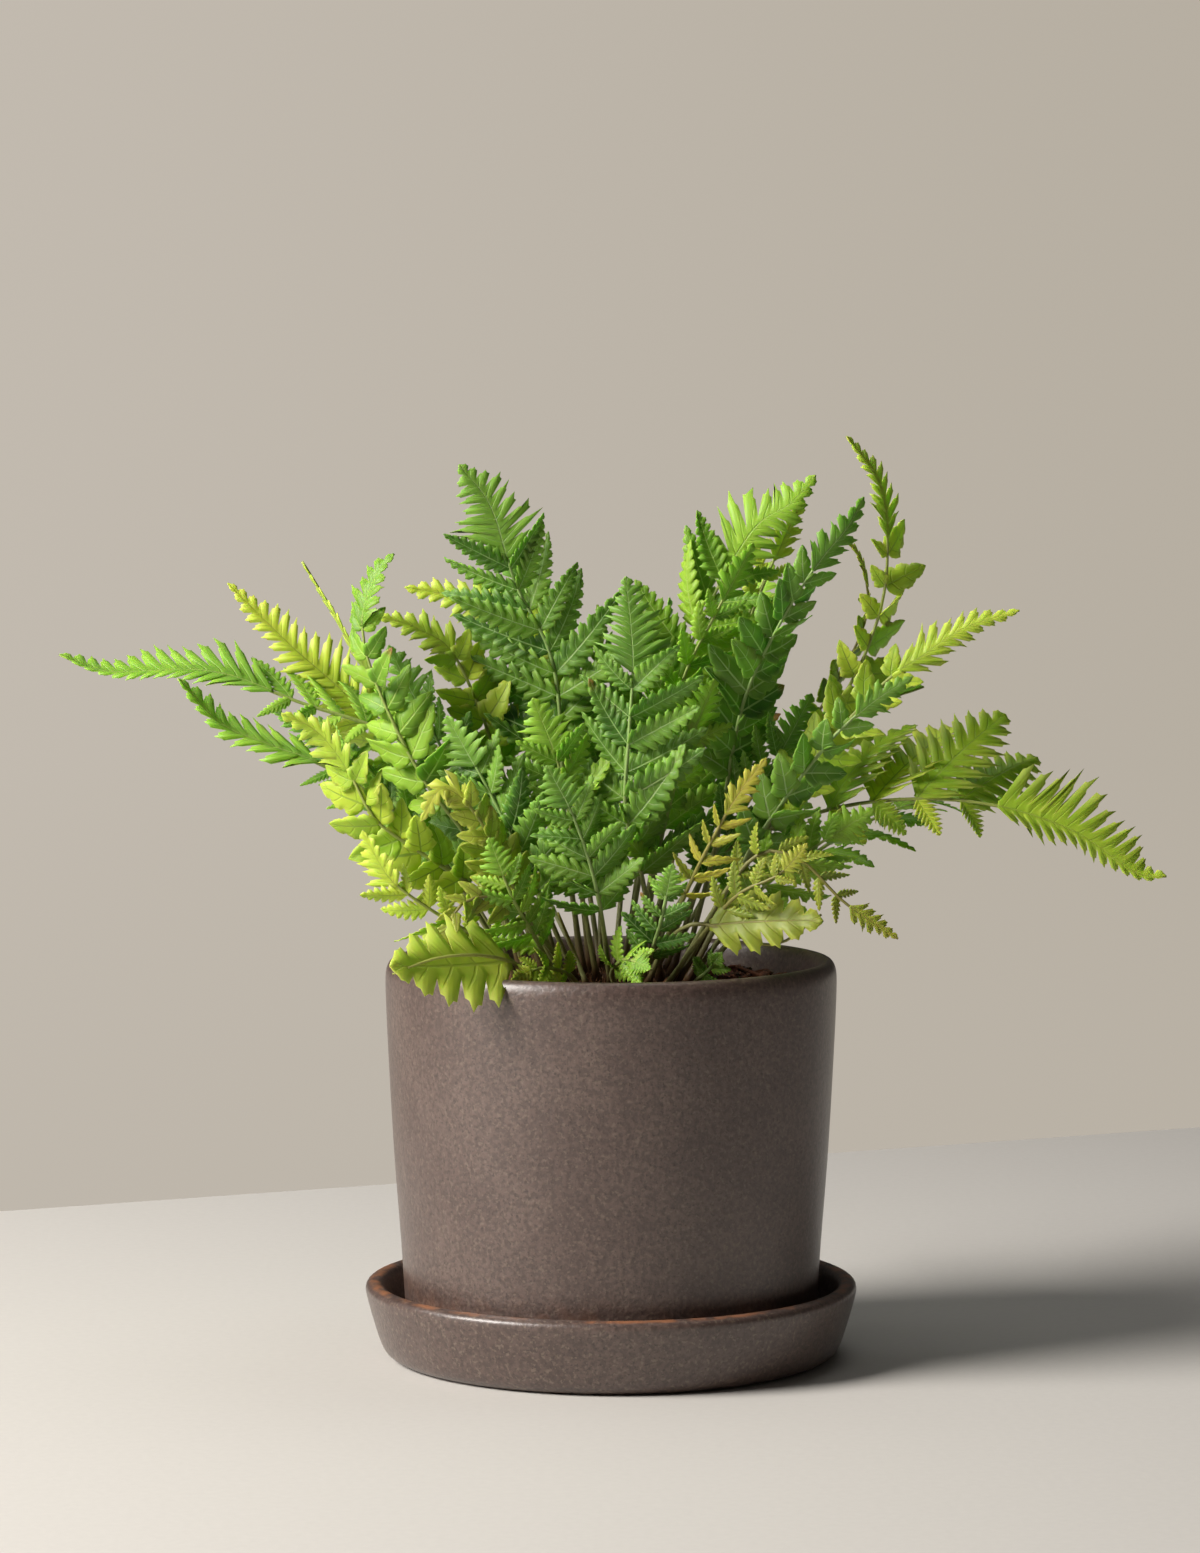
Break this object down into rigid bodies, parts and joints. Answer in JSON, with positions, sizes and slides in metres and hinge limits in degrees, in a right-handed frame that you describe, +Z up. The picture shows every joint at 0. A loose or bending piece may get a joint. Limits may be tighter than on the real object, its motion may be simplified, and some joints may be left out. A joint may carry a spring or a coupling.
{
  "type": "potted fern",
  "caption": "Young fern with many pinnate fronds rising from one crown, in a brown speckled stoneware pot standing on its saucer.",
  "frame": {"origin": "centre of the saucer's underside, on the surface it stands on, on the pot's axis", "axes": "+Z up along the pot's axis, +X along the widest spread of the fronds, +Y towards the back of the plant"},
  "size_m": [0.3202, 0.1745, 0.265],
  "materials": {
    "stoneware": "brown speckled satin glaze",
    "soil": "loose bark and coir chips, dull",
    "crown": "fibrous brown old leaf bases, dull",
    "leaf_dark_green": "satin dark green with a paler midrib",
    "leaf_mid_green": "satin mid green",
    "leaf_lime": "thin translucent lime green",
    "leaf_yellow_green": "thin yellow green",
    "leaf_olive": "satin olive green",
    "leaf_young_orange": "thin orange green young leaf"
  },
  "bodies": {
    "root": {"saucer": "stoneware", "pot": "stoneware", "soil": "soil", "crown": "crown", "frond_centre_front": "leaf_dark_green", "frond_tall_left": "leaf_dark_green", "frond_upper_right": "leaf_mid_green", "frond_long_right": "leaf_lime", "frond_long_left": "leaf_mid_green", "frond_arching_dark": "leaf_dark_green", "frond_tall_lime_right": "leaf_lime", "frond_upright_olive_left": "leaf_mid_green", "frond_lower_left": "leaf_mid_green", "frond_lime_comb_left": "leaf_lime", "frond_hanging_lime": "leaf_lime", "frond_low_left": "leaf_lime", "frond_curled_yellow": "leaf_yellow_green", "frond_hanging_olive": "leaf_olive", "leaf_over_rim": "leaf_yellow_green", "frond_small_lime_right": "leaf_lime", "frond_round_dark_right": "leaf_dark_green", "frond_twisted_right": "leaf_olive", "frond_young_orange": "leaf_young_orange", "frond_low_olive_right": "leaf_olive", "frond_small_olive_right": "leaf_olive", "frond_bright_inner": "leaf_mid_green", "frond_inner_left_low": "leaf_mid_green", "frond_inner_left_wide": "leaf_dark_green", "frond_front_low": "leaf_dark_green", "frond_inner_right_low": "leaf_mid_green", "frond_pale_inner_left": "leaf_lime", "frond_round_lime": "leaf_lime", "frond_pale_inner_right": "leaf_lime", "frond_thin_inner_right": "leaf_olive", "frond_thin_inner_left": "leaf_lime", "frond_middle_left": "leaf_dark_green", "frond_mid_left_high": "leaf_dark_green", "frond_mid_right_high": "leaf_dark_green", "frond_mid_right_low": "leaf_mid_green", "frond_low_front_left": "leaf_mid_green", "frond_low_front_right": "leaf_dark_green", "frond_heart_middle": "leaf_mid_green", "young_leaf_centre": "leaf_mid_green", "young_leaf_left": "leaf_lime", "young_leaf_right": "leaf_dark_green", "dry_stalk_left": "leaf_young_orange", "dry_stalk_front": "leaf_young_orange", "dry_stalk_right": "leaf_young_orange", "frond_heart_left": "leaf_mid_green", "frond_heart_right": "leaf_dark_green", "frond_back_right": "leaf_mid_green", "frond_back_middle": "leaf_dark_green", "frond_back_left": "leaf_mid_green", "frond_side_left": "leaf_dark_green", "frond_side_right": "leaf_mid_green", "frond_back_low_right": "leaf_lime", "frond_back_low_left": "leaf_lime", "frond_back_tall_left": "leaf_dark_green", "frond_back_tall_right": "leaf_mid_green"}
  },
  "joints": []
}
